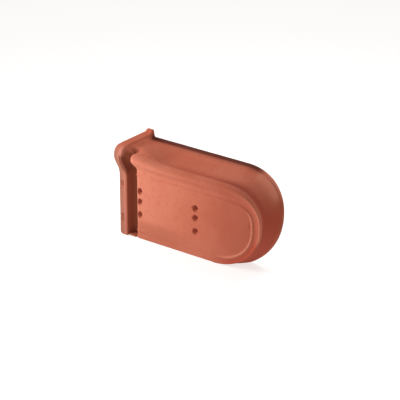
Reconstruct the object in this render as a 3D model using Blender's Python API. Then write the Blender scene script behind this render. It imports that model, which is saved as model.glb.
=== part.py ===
"""Fired-clay verge tile: a plate that hangs over the roof's edge, a top flange, and a rounded closed tail.

The tile is one solid, lofted through cross-sections. X runs from the head to the tail, the front plate
faces -Y, and Z is up. A section is drawn in two coordinates: w, the distance outwards from the outline of
the front face, and y, the depth. One row of sections follows the top edge and the tail, and comes back
along the bottom edge.
"""
import math
from dataclasses import dataclass, replace

import bmesh
import bpy
from mathutils import Vector

MM = 0.001

# Outline of the front face
FACE_LENGTH = 407.5 * MM
FACE_TOP = 201 * MM
TIP_HEIGHT = 116 * MM
UPPER_ARC_LENGTH = 102 * MM
UPPER_ARC_POWER = 2.3
LOWER_ARC_LENGTH = 140 * MM
LOWER_ARC_POWER = 2.0
HEAD_RISE = 10 * MM
HEAD_RISE_LENGTH = 90 * MM

# Front plate. The ridge's crown lies between two shares of its width
PLATE_FRONT = 5 * MM
PLATE_THICKNESS = 12 * MM
RIDGE_HEIGHT = 2 * MM
RIDGE_WIDTH = 8 * MM
RIDGE_GAP = 4 * MM
RIDGE_CROWN = (0.36, 0.64)
PANEL_MARGIN = 4 * MM

# Roll along the top edge, which shrinks to a bead round the tail. Its nose, the place that stands out
# furthest, is at a share of its width below its crest
ROLL_WIDTH_HEAD = 46 * MM
ROLL_WIDTH = 36 * MM
ROLL_REACH_HEAD = 19 * MM
ROLL_REACH = 13 * MM
BEAD_WIDTH_TAIL = 20 * MM
BEAD_REACH_TAIL = 6 * MM
BEAD_WIDTH_BOTTOM = 12 * MM
BEAD_REACH_BOTTOM = 2 * MM
BEAD_SLIMMING = 6.5 * MM
NOSE_SHARE = 0.3
BEAD_NOSE_SHARE = 0.1
CREST_SETBACK = 1 * MM

# Top flange and tail wall
FLANGE_DEPTH = 98 * MM
TIP_DEPTH = 82 * MM
LOWER_DEPTH = 50 * MM
WALL_THICKNESS = 12 * MM
RIM_RISE = 18 * MM
TIP_FLARE = 4.5 * MM
LOWER_FLARE = 17 * MM
# The wall grows from the plate's back over this share of the lower arc, slowly at first
WALL_GROWTH = 0.3
WALL_GROWTH_POWER = 2.5
LIP_HEIGHT = 4 * MM
LIP_WIDTH = 9 * MM
FLARE_POWER = 1.45

# Lip's outline: its back edge's drop as a share of its height, then places as shares of its width, from its
# front edge backwards
LIP_BACK_DROP = 0.25
LIP_TOP_BACK = 0.8
LIP_TOP_FRONT = 0.15
LIP_FOOT = -0.1
WALL_TOP = -0.7

# Trough behind the roll: its height above the crest at the head, where the straight run starts and ends, and
# at the tip, and how far it lies behind the crest. The cove between them is at shares of both
TROUGH_HEAD = 7 * MM
TROUGH = -3 * MM
TROUGH_ARC = -6 * MM
TROUGH_TIP = -8 * MM
TROUGH_SETBACK = 11 * MM
TROUGH_SETBACK_TIP = 15 * MM
COVE_HEIGHT = 0.3
COVE_PLACE = 0.45

# Inner side of the wall, and the hollow under the roll. The corner under the flange is this large where the
# wall stands at least CORNER_ROOM behind the plate, and smaller in proportion where it stands less
WALL_DRAFT = 2.4 * MM
CORNER_ROOM = 30 * MM
CORNER_BACK = 10 * MM
CORNER_DROP = 2 * MM
CORNER_FRONT = 3.5 * MM
HOLLOW_SHARE = 0.8
HOLLOW_LOSS = 4 * MM
HOLLOW_SETBACK = 5 * MM
HOLLOW_LEAST = 3 * MM
HOLLOW_PLACES = (0.0, 0.15, 0.4, 0.65, 0.85, 1.0)
BACK_MARGIN = 2 * MM

# Collar at the head, and the channel between it and the body
COLLAR_WIDTH = 24 * MM
COLLAR_STEP = 13 * MM
COLLAR_FRONT = 0 * MM
COLLAR_ROLL_DROP = 14 * MM
COLLAR_TROUGH = 1 * MM
COLLAR_BACK_RISE = 3 * MM
COLLAR_CORNER = 8 * MM
CHANNEL_WIDTH = 23 * MM
CHANNEL_DEPTH = 15 * MM
CHANNEL_SLOPE = 1.5 * MM
CHANNEL_WALL = 8 * MM

# How far (inwards, backwards) the channel sinks the roll's crest and its nose, and the cove's share of the
# crest's. The wall beside the collar spreads into a gentle slope above two heights, but not near the lug
CREST_SINK = (5 * MM, 6 * MM)
COVE_SINK = 0.25
NOSE_SINK = (8.4 * MM, 19.8 * MM)
WALL_SPREAD = 11 * MM
WALL_SPREAD_LOW = 176 * MM
WALL_SPREAD_HIGH = 206 * MM
LUG_CLEARANCE = 38 * MM
LUG_EASING = 25 * MM

# Web that closes the channel's bottom, lug at the collar's back, and rounded edges
WEB_HEIGHT = 7 * MM
LUG_HEIGHT = 8 * MM
ARRIS = 3 * MM

# Rounded start of the body: its length, how far it sinks the roll towards the channel, as a share of the
# channel's own sink, and how far the roll's nose stands out over the channel
BODY_END = 8 * MM
ROLL_END_SINK = 0.15
ROLL_OVERHANG = 5 * MM
# Share of the roll's reach over which its end comes to lean out fully
ROLL_LEAN = 0.5

# Collar's sections: x, shift of its back, trim, and the shares of its bottom corner and its lug
COLLAR_PROFILE = (
    (0.0, 0.0, ARRIS / 3, 1.0, 0.0),
    (ARRIS / 2, 0.0, 0.0, 0.45, 0.1),
    (COLLAR_CORNER, 0.0, 0.0, 0.0, 1.0),
    (COLLAR_WIDTH - ARRIS, -CHANNEL_WALL, 0.0, 0.0, 0.95),
    (COLLAR_WIDTH - ARRIS / 4, -CHANNEL_WALL, ARRIS / 3, 0.0, 0.9),
)

# Shares of the body's rounded start, and of its rounding there
BODY_END_PROFILE = ((0.0, 1.0), (0.12, 0.52), (0.4, 0.2), (1.0, 0.0))

# Nail holes: each column's place from the start of the body, its holes' width at the front, and their drops
# below the top of the face. A hole narrows through the taper to its neck, which lies a little higher
HOLE_HEIGHT = 16.5 * MM
HOLE_NECK = 6.5 * MM
HOLE_NECK_RISE = 2.5 * MM
HOLE_TAPER = 10 * MM
HOLE_SIDES = 20
HOLE_COLUMNS = (
    (9.8 * MM, 13 * MM, (141.5 * MM, 109.5 * MM, 83.6 * MM)),
    (172.7 * MM, 16 * MM, (140.1 * MM, 108 * MM, 84.7 * MM)),
)
PIN_CLEARANCE = 5 * MM

# Fineness of the facets
RUN_STEPS = 7
TAIL_STEPS = 14
ROLL_STEPS = 4
WALL_STEPS = 4

CLAY_COLOR = (0.53, 0.2, 0.115, 1.0)
CLAY_ROUGHNESS = 0.82
SHARP_ANGLE = math.radians(35)

BODY_START = COLLAR_WIDTH + CHANNEL_WIDTH
COLLAR_TOP = FACE_TOP + HEAD_RISE + COLLAR_STEP
COLLAR_ROLL_WIDTH = COLLAR_STEP + ROLL_WIDTH_HEAD + COLLAR_ROLL_DROP


@dataclass(frozen=True)
class Station:
    """One place along the edge of the face, with the sizes of the section there."""

    x: float
    z: float
    normal: tuple
    depth: float
    width: float
    reach: float
    lift: float = 0.0
    trough: float = 0.0
    lip: float = 0.0
    lug: float = 0.0
    ridge: float = RIDGE_HEIGHT
    front: float = PLATE_FRONT
    nose: float = NOSE_SHARE
    setback: float = TROUGH_SETBACK
    sink: float = 0.0
    roll_sink: float = 0.0
    spread: float = 0.0
    overhang: float = 0.0
    web: float = 0.0
    trim: float = 0.0
    face_trim: float = 0.0
    back_shift: float = 0.0


def smooth(value):
    """Smooth step from 0 to 1."""
    t = min(max(value, 0.0), 1.0)
    return t * t * (3 - 2 * t)


def mix(first, last, share):
    """Value at a share of the way between two values."""
    return first + (last - first) * share


def inward(points):
    """Unit vector into the clay at each point of an open section, drawn from the back to the front."""
    vectors = []
    for i in range(len(points)):
        before = points[max(i - 1, 0)]
        after = points[min(i + 1, len(points) - 1)]
        dw, dy = after[0] - before[0], after[1] - before[1]
        size = math.hypot(dw, dy)
        vectors.append((dy / size, -dw / size))
    return vectors


def outer_section(s):
    """Points (w, y) from the rim's back edge over the flange and the roll to the edge of the panel."""
    crest_y = s.front + CREST_SETBACK
    squeeze = (s.depth - crest_y) / (FLANGE_DEPTH - crest_y)

    def at_depth(y):
        return crest_y + (y - crest_y) * squeeze

    lip_front = FLANGE_DEPTH - LIP_WIDTH
    lip_top = s.lift + s.lug
    points = [
        (lip_top - LIP_BACK_DROP * s.lip, s.depth),
        (lip_top, at_depth(lip_front + LIP_TOP_BACK * LIP_WIDTH)),
        (lip_top, at_depth(lip_front + LIP_TOP_FRONT * LIP_WIDTH)),
        (s.lift - s.lip, at_depth(lip_front + LIP_FOOT * LIP_WIDTH)),
    ]
    wall_top_y = lip_front + WALL_TOP * LIP_WIDTH
    for i in range(WALL_STEPS, -1, -1):
        share = i / WALL_STEPS
        w = mix(s.trough, s.lift - s.lip, share ** FLARE_POWER)
        points.append((w, at_depth(mix(crest_y + s.setback, wall_top_y, share))))
    points.append((COVE_HEIGHT * s.trough, at_depth(crest_y + COVE_PLACE * s.setback)))

    roll_start = len(points)
    nose_w, nose_y = -s.nose * s.width, s.front - s.reach
    for i in range(ROLL_STEPS + 1):
        angle = math.radians(90) * i / ROLL_STEPS
        points.append((nose_w * (1 - math.cos(angle)), mix(crest_y, nose_y, math.sin(angle))))
    for i in range(1, ROLL_STEPS + 1):
        share = i / ROLL_STEPS
        fall = 0.5 - 0.5 * math.cos(math.pi * share)
        points.append((mix(nose_w, -s.width, share), mix(nose_y, s.front, fall)))
    ridge_w = s.width + RIDGE_GAP
    points.append((-ridge_w, s.front))
    points += [(-ridge_w - share * RIDGE_WIDTH, s.front - s.ridge) for share in RIDGE_CROWN]
    points.append((-ridge_w - RIDGE_WIDTH, s.front))
    points.append((-ridge_w - RIDGE_WIDTH - PANEL_MARGIN, s.front))
    if s.roll_sink:
        points = sunk(points, roll_start, s)
    if s.web:
        front = points[:roll_start]
        points = front + [(w, y - CHANNEL_DEPTH if w > -s.web else y) for w, y in points[roll_start:]]
    shaved = []
    for i, ((w, y), (iw, iy)) in enumerate(zip(points, inward(points))):
        trim = s.trim + (s.face_trim if i >= roll_start - 1 else 0.0)
        shaved.append((w + iw * trim, y + iy * trim))
    return shaved


def sunk(points, roll_start, s):
    """Sinks a section's roll and face into the channel, which fades out behind the roll's crest."""
    crest, nose = [tuple(s.roll_sink * sink for sink in sinks) for sinks in (CREST_SINK, NOSE_SINK)]
    face = (0.0, s.sink * CHANNEL_DEPTH)
    lowered = []
    for i, (w, y) in enumerate(points):
        past = i - roll_start
        if past < 0:
            inwards, back = [COVE_SINK * sink if past == -1 else 0.0 for sink in crest]
        elif past <= ROLL_STEPS:
            inwards, back = [mix(a, b, past / ROLL_STEPS) for a, b in zip(crest, nose)]
        else:
            share = smooth((past - ROLL_STEPS) / ROLL_STEPS)
            inwards, back = [mix(a, b, share) for a, b in zip(nose, face)]
        lowered.append((w - inwards, y + back))
    return lowered


def inner_section(s):
    """Points (w, y) from the rim's inner back edge, under the flange, to the plate's back."""
    back = s.front + s.sink * CHANNEL_DEPTH + PLATE_THICKNESS
    room = s.depth - back
    corner = min(1.0, room / CORNER_ROOM)
    points = []
    for i in range(WALL_STEPS, -1, -1):
        share = i / WALL_STEPS
        w = mix(s.trough, s.lift, share ** FLARE_POWER) - WALL_THICKNESS - WALL_DRAFT * (1 - share)
        points.append((w, back + mix(CORNER_BACK * corner, room, share)))
    inner_w = points[-1][0]
    points.append((inner_w - CORNER_DROP, back + CORNER_FRONT * corner))
    hollow = max(HOLLOW_SHARE * s.reach - HOLLOW_LOSS, 0.0)
    start_w = inner_w - HOLLOW_SETBACK
    end_w = min(-s.width - RIDGE_GAP - RIDGE_WIDTH / 2, start_w - HOLLOW_LEAST)
    for share in HOLLOW_PLACES:
        points.append((mix(start_w, end_w, share), back - hollow * math.sin(math.pi * share)))
    panel_w = -s.width - RIDGE_GAP - RIDGE_WIDTH - PANEL_MARGIN
    points.append((min(panel_w, end_w - BACK_MARGIN), back))
    return points


def collar_station(x, along_top):
    """Section of the collar, which is the body's section grown outwards."""
    collar = Station(
        x=x, z=COLLAR_TOP, normal=(0.0, 1.0), depth=FLANGE_DEPTH, width=COLLAR_ROLL_WIDTH,
        reach=ROLL_REACH_HEAD, lift=COLLAR_BACK_RISE, trough=COLLAR_TROUGH, lip=0.0, ridge=0.0,
        front=COLLAR_FRONT,
    )
    if along_top:
        return collar
    return replace(
        collar, z=0.0, normal=(0.0, -1.0), depth=COLLAR_FRONT + PLATE_THICKNESS,
        width=BEAD_WIDTH_BOTTOM, reach=0.0, lift=0.0, trough=0.0,
    )


def channel_station(x, along_top):
    """Section of the channel, which is the body's section set back."""
    body = body_station(x, along_top)
    if along_top:
        return replace(body, sink=1.0, roll_sink=1.0, ridge=0.0)
    front = PLATE_FRONT + CHANNEL_DEPTH
    return replace(body, front=front, depth=front + PLATE_THICKNESS, web=WEB_HEIGHT, ridge=0.0)


def body_station(x, along_top):
    """Section of the body at a place along its straight top or bottom edge."""
    if not along_top:
        return Station(
            x=x, z=0.0, normal=(0.0, -1.0), depth=PLATE_FRONT + PLATE_THICKNESS,
            width=BEAD_WIDTH_BOTTOM, reach=BEAD_REACH_BOTTOM,
        )
    fade = smooth((x - BODY_START) / HEAD_RISE_LENGTH)
    top = mix(FACE_TOP + HEAD_RISE, FACE_TOP, fade)
    arc_start = FACE_LENGTH - UPPER_ARC_LENGTH
    along = max((x - BODY_START) / (arc_start - BODY_START), 0.0)
    return Station(
        x=x, z=top, normal=(0.0, 1.0), depth=FLANGE_DEPTH,
        width=mix(ROLL_WIDTH_HEAD, ROLL_WIDTH, fade), reach=mix(ROLL_REACH_HEAD, ROLL_REACH, along),
        lift=FACE_TOP + RIM_RISE - top, trough=mix(TROUGH_HEAD, mix(TROUGH, TROUGH_ARC, along), fade),
        lip=LIP_HEIGHT,
    )


def head_stations(along_top):
    """Sections of the collar, the channel and the rounded start of the body."""
    rows = []
    corner = 0.0 if along_top else COLLAR_CORNER
    lug = LUG_HEIGHT if along_top else 0.0
    for x, back_shift, trim, raised, lug_share in COLLAR_PROFILE:
        row = collar_station(x, along_top)
        rows.append(replace(
            row, z=row.z + corner * raised, trim=trim, lug=lug * lug_share, back_shift=back_shift,
        ))
    rows.append(replace(
        channel_station(COLLAR_WIDTH + CHANNEL_SLOPE, along_top), back_shift=-CHANNEL_WALL,
        spread=WALL_SPREAD,
    ))
    rows.append(replace(
        channel_station(BODY_START - CHANNEL_SLOPE, along_top), back_shift=CHANNEL_WALL,
    ))
    roll_sink, overhang = (ROLL_END_SINK, ROLL_OVERHANG) if along_top else (0.0, 0.0)
    for share, rounding in BODY_END_PROFILE:
        rows.append(replace(
            body_station(BODY_START + share * BODY_END, along_top),
            face_trim=ARRIS * rounding, roll_sink=roll_sink * rounding, overhang=overhang * (1 - share),
            back_shift=CHANNEL_WALL * (1 - share / 2),
        ))
    return rows


def arc_point(share, upper):
    """Point and outward normal on a quarter of the tail, from the straight edge (0) to the tip (1)."""
    length = UPPER_ARC_LENGTH if upper else LOWER_ARC_LENGTH
    power = UPPER_ARC_POWER if upper else LOWER_ARC_POWER
    height = FACE_TOP - TIP_HEIGHT if upper else TIP_HEIGHT
    sign = 1.0 if upper else -1.0
    angle = math.radians(90) * share
    u = math.sin(angle) ** (2 / power)
    v = max(math.cos(angle), 0.0) ** (2 / power)
    normal = Vector((u ** (power - 1) / length, sign * v ** (power - 1) / height)).normalized()
    x = FACE_LENGTH - length + length * u
    return x, TIP_HEIGHT + sign * height * v, (normal.x, normal.y)


def tail_stations():
    """Sections round the tail, from the end of the top edge to the start of the bottom edge."""
    rows = []
    for i in range(TAIL_STEPS + 1):
        share = i / TAIL_STEPS
        x, z, normal = arc_point(share, True)
        turn = smooth(share)
        rows.append(Station(
            x=x, z=z, normal=normal, depth=mix(FLANGE_DEPTH, TIP_DEPTH, turn),
            width=mix(ROLL_WIDTH, BEAD_WIDTH_TAIL, turn), reach=mix(ROLL_REACH, BEAD_REACH_TAIL, turn),
            lift=mix(RIM_RISE, TIP_FLARE, share), trough=mix(TROUGH_ARC, TROUGH_TIP, turn),
            lip=LIP_HEIGHT, nose=mix(NOSE_SHARE, BEAD_NOSE_SHARE, turn),
            setback=mix(TROUGH_SETBACK, TROUGH_SETBACK_TIP, turn),
        ))
    for i in range(TAIL_STEPS - 1, 0, -1):
        share = i / TAIL_STEPS
        x, z, normal = arc_point(share, False)
        turn = smooth(share)
        # The flare opens downwards as far as the plane that the tile stands on
        room_below = -z / normal[1]
        grown = min(share / WALL_GROWTH, 1.0) ** WALL_GROWTH_POWER
        rows.append(Station(
            x=x, z=z, normal=normal,
            depth=mix(PLATE_FRONT + PLATE_THICKNESS, mix(LOWER_DEPTH, TIP_DEPTH, share), grown),
            width=mix(BEAD_WIDTH_BOTTOM, BEAD_WIDTH_TAIL, turn)
            - BEAD_SLIMMING * math.sin(math.pi * share),
            reach=mix(BEAD_REACH_BOTTOM, BEAD_REACH_TAIL, turn),
            lift=min(mix(LOWER_FLARE, TIP_FLARE, turn), room_below),
            trough=TROUGH_TIP * turn, lip=LIP_HEIGHT * turn * grown, nose=BEAD_NOSE_SHARE,
            setback=mix(TROUGH_SETBACK, TROUGH_SETBACK_TIP, turn),
        ))
    return rows


def add_rows(mesh, stations, section, behind):
    """One row of vertices for each section. Some parts of it may lie further along than others."""
    rows = []
    for s in stations:
        row = []
        for w, y in section(s):
            z = s.z + s.normal[1] * w
            raised = smooth((z - WALL_SPREAD_LOW) / (WALL_SPREAD_HIGH - WALL_SPREAD_LOW))
            before_lug = smooth((FLANGE_DEPTH - LUG_CLEARANCE + LUG_EASING - y) / LUG_EASING)
            leaning = s.overhang * smooth((s.front - y) / (ROLL_LEAN * s.reach)) if s.overhang else 0.0
            x = s.x + s.normal[0] * w + (s.back_shift if behind else s.spread * raised * before_lug - leaning)
            row.append(mesh.verts.new((x, y, z)))
        rows.append(row)
    return rows


def bridge(mesh, rows):
    """Quads between neighbouring rows of vertices."""
    for first, second in zip(rows, rows[1:]):
        for a, b, c, d in zip(first, second, second[1:], first[1:]):
            mesh.faces.new((a, b, c, d))


def fill_panel(mesh, rows, head_count):
    """Flat middle of the plate: strips across the head, then one face for the body."""
    top, bottom = rows[:head_count + 1], rows[-head_count - 1:][::-1]
    for i in range(head_count):
        mesh.faces.new((top[i][-1], top[i + 1][-1], bottom[i + 1][-1], bottom[i][-1]))
    mesh.faces.new([row[-1] for row in rows[head_count:len(rows) - head_count]])


def make_body(material):
    """The tile without its nail holes."""
    head_top = head_stations(True)
    head_bottom = head_stations(False)
    arc_top = FACE_LENGTH - UPPER_ARC_LENGTH
    arc_bottom = FACE_LENGTH - LOWER_ARC_LENGTH
    start = BODY_START + BODY_END
    run_top = [body_station(mix(start, arc_top, i / RUN_STEPS), True) for i in range(1, RUN_STEPS)]
    run_bottom = [body_station(mix(start, arc_bottom, i / RUN_STEPS), False) for i in range(1, RUN_STEPS + 1)]
    stations = head_top + run_top + tail_stations() + run_bottom[::-1] + head_bottom[::-1]

    mesh = bmesh.new()
    outer = add_rows(mesh, stations, outer_section, behind=False)
    inner = add_rows(mesh, stations, inner_section, behind=True)
    bridge(mesh, outer)
    bridge(mesh, inner)
    for (a, b), (c, d) in zip(zip(outer, inner), zip(outer[1:], inner[1:])):
        mesh.faces.new((a[0], b[0], d[0], c[0]))
    fill_panel(mesh, outer, len(head_top) - 1)
    fill_panel(mesh, inner, len(head_top) - 1)
    mesh.faces.new(outer[0] + outer[-1][::-1] + inner[-1] + inner[0][::-1])

    bmesh.ops.recalc_face_normals(mesh, faces=mesh.faces)
    bmesh.ops.triangulate(mesh, faces=[f for f in mesh.faces if len(f.verts) > 4])
    data = bpy.data.meshes.new("verge_tile")
    mesh.to_mesh(data)
    mesh.free()
    body = bpy.data.objects.new("verge_tile", data)
    data.materials.append(material)
    bpy.context.scene.collection.objects.link(body)
    return body


def make_punches():
    """Cutter with one oval pin for each nail hole, long enough to pass through the channel's clay too."""
    mesh = bmesh.new()
    front = PLATE_FRONT - PIN_CLEARANCE
    neck = PLATE_FRONT + HOLE_TAPER
    back = PLATE_FRONT + CHANNEL_DEPTH + PLATE_THICKNESS + PIN_CLEARANCE
    growth = 1 + PIN_CLEARANCE / HOLE_TAPER
    for offset, width, drops in HOLE_COLUMNS:
        mouth = [HOLE_NECK + (size - HOLE_NECK) * growth for size in (width, HOLE_HEIGHT)]
        narrow = [HOLE_NECK, HOLE_NECK]
        mouth_rise = HOLE_NECK_RISE * (1 - growth)
        for drop in drops:
            x = BODY_START + offset
            rings = []
            for y, (wide, tall), rise in (
                (front, mouth, mouth_rise), (neck, narrow, HOLE_NECK_RISE), (back, narrow, HOLE_NECK_RISE),
            ):
                z = FACE_TOP - drop + rise
                ring = []
                for i in range(HOLE_SIDES):
                    angle = math.radians(360) * i / HOLE_SIDES
                    place = (x + wide / 2 * math.cos(angle), y, z + tall / 2 * math.sin(angle))
                    ring.append(mesh.verts.new(place))
                rings.append(ring)
            for first, second in zip(rings, rings[1:]):
                for i in range(HOLE_SIDES):
                    mesh.faces.new((first[i - 1], first[i], second[i], second[i - 1]))
            mesh.faces.new(rings[0])
            mesh.faces.new(rings[-1])
    bmesh.ops.recalc_face_normals(mesh, faces=mesh.faces)
    data = bpy.data.meshes.new("nail_punches")
    mesh.to_mesh(data)
    mesh.free()
    punches = bpy.data.objects.new("nail_punches", data)
    punches.hide_render = True
    punches.display_type = "WIRE"
    bpy.context.scene.collection.objects.link(punches)
    return punches


def make_clay():
    """Unglazed red clay."""
    clay = bpy.data.materials.new("fired_clay")
    clay.use_nodes = True
    shader = clay.node_tree.nodes["Principled BSDF"]
    shader.inputs["Base Color"].default_value = CLAY_COLOR
    shader.inputs["Roughness"].default_value = CLAY_ROUGHNESS
    shader.inputs["Metallic"].default_value = 0.0
    return clay


def main():
    for item in list(bpy.data.objects):
        bpy.data.objects.remove(item, do_unlink=True)
    body = make_body(make_clay())
    punches = make_punches()

    # The origin is the middle of the tile's footprint
    corners = [v.co for v in body.data.vertices]
    middle = Vector((
        (min(c.x for c in corners) + max(c.x for c in corners)) / 2,
        (min(c.y for c in corners) + max(c.y for c in corners)) / 2,
        min(c.z for c in corners),
    ))
    for item in (body, punches):
        for vertex in item.data.vertices:
            vertex.co -= middle

    cut = body.modifiers.new("nail_holes", "BOOLEAN")
    cut.operation = "DIFFERENCE"
    cut.solver = "EXACT"
    cut.object = punches
    body.data.shade_smooth()
    body.data.set_sharp_from_angle(angle=SHARP_ANGLE)


main()
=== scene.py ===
"""Looks of a fired-clay verge tile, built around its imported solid.

The tile is one piece of pressed clay. Its sections are drawn in two coordinates: w, the distance outwards
from the outline of the front face, and y, the depth. A row of sections runs along the top edge from the
head, round the tail, and back along the bottom edge. Sizes are in the drawing frame, whose zero is the
head end, the collar's flat front and the plane that the tile stands on.
"""
import logging
import math
from dataclasses import dataclass, replace
from enum import Enum

import bmesh
import bpy
import numpy as np
from bpy.types import ID, Material, Node, NodeOutputs, NodesModifier, NodeSocket, NodeTree, Object
from mathutils import Matrix, Vector


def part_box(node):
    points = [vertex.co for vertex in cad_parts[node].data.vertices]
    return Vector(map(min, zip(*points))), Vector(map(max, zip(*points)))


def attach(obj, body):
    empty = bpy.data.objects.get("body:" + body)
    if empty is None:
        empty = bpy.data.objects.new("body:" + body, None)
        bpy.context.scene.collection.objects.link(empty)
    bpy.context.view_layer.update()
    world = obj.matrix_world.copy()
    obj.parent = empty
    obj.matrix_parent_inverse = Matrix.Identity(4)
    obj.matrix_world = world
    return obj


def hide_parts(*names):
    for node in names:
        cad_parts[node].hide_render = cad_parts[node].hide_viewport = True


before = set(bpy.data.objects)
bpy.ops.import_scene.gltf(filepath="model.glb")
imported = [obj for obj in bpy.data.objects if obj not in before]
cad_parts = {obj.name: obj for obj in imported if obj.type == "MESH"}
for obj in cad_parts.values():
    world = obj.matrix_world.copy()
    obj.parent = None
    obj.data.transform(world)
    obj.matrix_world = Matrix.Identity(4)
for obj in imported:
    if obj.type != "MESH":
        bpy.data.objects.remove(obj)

MM = 0.001
TILE_NODE = "verge_tile"
# What the clay's tone follows, one point attribute for each: painted shade and the lip's dark band, painted
# shade in the channel, the face, painted shade on the wall, and painted highlights
TONES = ("groove", "channel", "face", "wall", "painted_highlight")
# Points of a section's lip, and points of the panel that come before the ridge's crown
LIP_POINTS = 4
PANEL_POINTS = 2
# Edges that turn by more than this are drawn sharp
SHARP_ANGLE = math.radians(50)
# Socket numbers of a colour mix: its share, the colour below, the colour above, and the result
SHARE, BELOW, ABOVE, MIXED = 0, 6, 7, 2
# One number, or a number for each point
Amount = float | np.ndarray
# Two numbers, such as a start and a stop
Pair = tuple[float, float]
# Points (w, y) of a section's side
Points = list[Pair]

log = logging.getLogger("verge_tile")


def smooth(value: float) -> float:
    """Smooth step.

    Args:
        value: place along the step, where 0 is its start and 1 its end.

    Returns:
        The height of the step there, from 0 to 1.
    """
    t = min(max(value, 0.0), 1.0)
    return t * t * (3 - 2 * t)


def ramp(value: float, start: float, stop: float) -> float:
    """Smooth step between two places, which may run downwards.

    Args:
        value: the place.
        start: where the step is at 0.
        stop: where it is at 1.

    Returns:
        The height of the step there, from 0 to 1.
    """
    return smooth((value - start) / (stop - start))


def rise(values: Amount, start: Amount, stop: Amount) -> Amount:
    """Straight ramp between two places, for one value or for many at once.

    Args:
        values: the places.
        start: where the ramp is at 0.
        stop: where it is at 1.

    Returns:
        The heights of the ramp there, from 0 to 1.
    """
    return np.clip((values - start) / (stop - start), 0.0, 1.0)


def mix(first: Amount, last: Amount, share: Amount) -> Amount:
    """Value at a share of the way between two values.

    Args:
        first: value at share 0.
        last: value at share 1.
        share: how far along, from 0 to 1.

    Returns:
        The value between them.
    """
    return first + (last - first) * share


def shares(steps: int) -> list[float]:
    """Even shares from 0 to 1, one more than there are steps."""
    return [i / steps for i in range(steps + 1)]


def quarter_round(share: float) -> float:
    """Drop of a quarter circle below its flat end.

    Args:
        share: place along the radius, from 0 at the vertical end to 1 at the flat end.

    Returns:
        The drop there, as a share of the radius.
    """
    rest = 1 - min(max(share, 0.0), 1.0)
    return 1 - math.sqrt(max(1 - rest * rest, 0.0))


def linear(hex_code: str) -> tuple[float, float, float, float]:
    """Turns an sRGB colour to the linear one that a shader takes.

    Args:
        hex_code: colour as #rrggbb.

    Returns:
        Red, green, blue and a full alpha, linear.
    """
    channels = []
    for start in (1, 3, 5):
        value = int(hex_code[start:start + 2], 16) / 255
        channels.append(value / 12.92 if value <= 0.04045 else ((value + 0.055) / 1.055) ** 2.4)
    return (*channels, 1.0)


def add_node(tree: NodeTree, kind: str, sockets: dict | None = None, **settings) -> Node:
    """Adds a node with its settings, its values and its links.

    Args:
        tree: the node tree that takes it.
        kind: the node's type name.
        sockets: for each input's name or number, its value, or the output that it is linked to.
        settings: the node's own properties.

    Returns:
        The new node.
    """
    node = tree.nodes.new(kind)
    for name, value in settings.items():
        setattr(node, name, value)
    for key, value in (sockets or {}).items():
        if isinstance(value, NodeSocket):
            tree.links.new(value, node.inputs[key])
        else:
            node.inputs[key].default_value = value
    return node


def new_tree(name: str, inputs: dict[str, str]) -> tuple[NodeTree, NodeOutputs]:
    """Starts a Geometry Nodes tree that takes a geometry and some named inputs, and gives a geometry.

    Args:
        name: its name.
        inputs: for each further input's name, its kind.

    Returns:
        The tree, and the sockets that give its inputs.
    """
    tree = bpy.data.node_groups.new(name, "GeometryNodeTree")
    for label, kind in {"Geometry": "Geometry", **inputs}.items():
        tree.interface.new_socket(label, in_out="INPUT", socket_type="NodeSocket" + kind)
    tree.interface.new_socket("Geometry", in_out="OUTPUT", socket_type="NodeSocketGeometry")
    return tree, add_node(tree, "NodeGroupInput").outputs


def end_tree(tree: NodeTree, geometry: NodeSocket, material: NodeSocket) -> None:
    """Ends a tree: instances are made real and the material is set.

    Args:
        tree: the tree.
        geometry: what it made.
        material: the socket that gives the material.
    """
    real = add_node(tree, "GeometryNodeRealizeInstances", {"Geometry": geometry})
    dressed = add_node(tree, "GeometryNodeSetMaterial", {
        "Geometry": real.outputs["Geometry"], "Material": material})
    add_node(tree, "NodeGroupOutput", {"Geometry": dressed.outputs["Geometry"]})


def placed(name: str, data: ID) -> Object:
    """Puts a new object in the scene.

    Args:
        name: its name.
        data: its mesh, light or camera.

    Returns:
        The object, at the origin.
    """
    thing = bpy.data.objects.new(name, data)
    bpy.context.scene.collection.objects.link(thing)
    return thing


class Edge(Enum):
    """Straight edge of the face that a section stands on, with the way that it faces."""

    TOP = 1.0
    BOTTOM = -1.0


@dataclass(frozen=True)
class Outline:
    """Outline of the front face: a straight top and bottom, joined by two quarters of an oval tail."""

    length: float = 407.5 * MM
    top: float = 201 * MM
    tip: float = 116 * MM
    upper_arc: float = 102 * MM
    upper_power: float = 2.3
    lower_arc: float = 140 * MM
    lower_power: float = 2.0

    def arc(self, share: float, edge: Edge) -> tuple[float, float, Pair]:
        """Place on a quarter of the tail.

        Args:
            share: from 0 at the straight edge to 1 at the tip.
            edge: which quarter.

        Returns:
            X, z and the outward normal.
        """
        upper = edge is Edge.TOP
        length = self.upper_arc if upper else self.lower_arc
        power = self.upper_power if upper else self.lower_power
        height = self.top - self.tip if upper else self.tip
        angle = math.radians(90) * share
        u = math.sin(angle) ** (2 / power)
        v = max(math.cos(angle), 0.0) ** (2 / power)
        normal = Vector((u ** (power - 1) / length, edge.value * v ** (power - 1) / height)).normalized()
        x = self.length - length + length * u
        return x, self.tip + edge.value * height * v, (normal.x, normal.y)


@dataclass(frozen=True)
class Plate:
    """Front plate, with the raised ridge round its panel."""

    front: float = 5 * MM
    thickness: float = 12 * MM
    ridge_height: float = 2 * MM
    ridge_width: float = 8 * MM
    ridge_gap: float = 4 * MM
    ridge_crown: Pair = (0.36, 0.64)
    panel_margin: float = 4 * MM


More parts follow.
